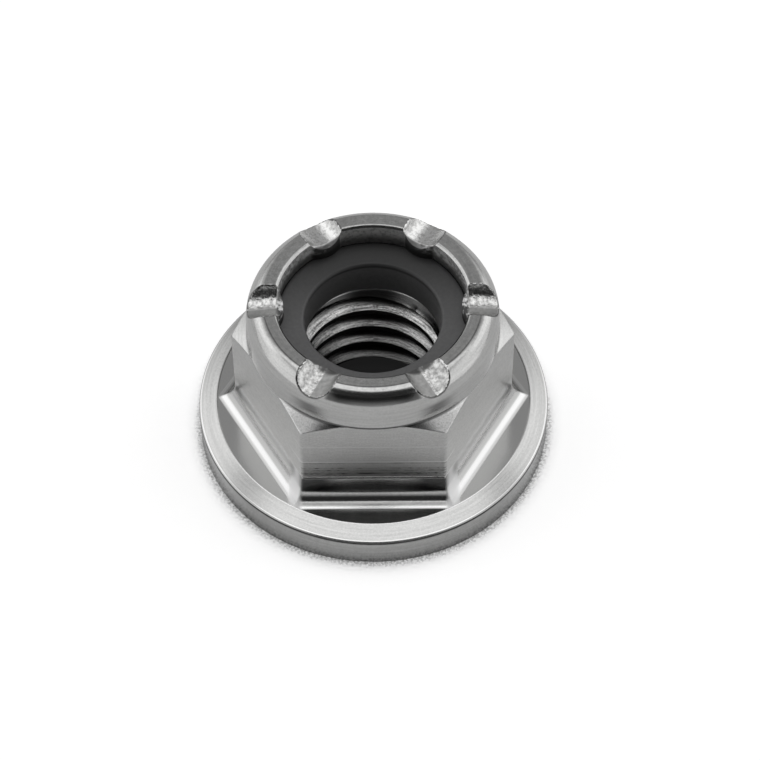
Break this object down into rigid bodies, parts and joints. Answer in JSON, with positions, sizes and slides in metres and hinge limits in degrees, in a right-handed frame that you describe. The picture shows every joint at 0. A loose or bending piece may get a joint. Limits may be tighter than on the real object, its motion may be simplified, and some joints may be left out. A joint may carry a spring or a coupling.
{
  "type": "flange lock nut",
  "caption": "Hexagon flange lock nut: a machined metal nut with a wide flange and a round collar, whose staked rim holds a dark polymer locking ring.",
  "frame": {"origin": "centre of the bearing face, on the thread axis", "axes": "+Z along the thread axis from the bearing face towards the collar, +X through a corner of the hexagon"},
  "size_m": [0.0175, 0.0174, 0.0095],
  "materials": {
    "nut_metal": "turned and milled bare metal",
    "ring_polymer": "moulded, satin charcoal"
  },
  "bodies": {
    "root": {"nut_body": "nut_metal", "locking_ring": "ring_polymer"}
  },
  "joints": []
}
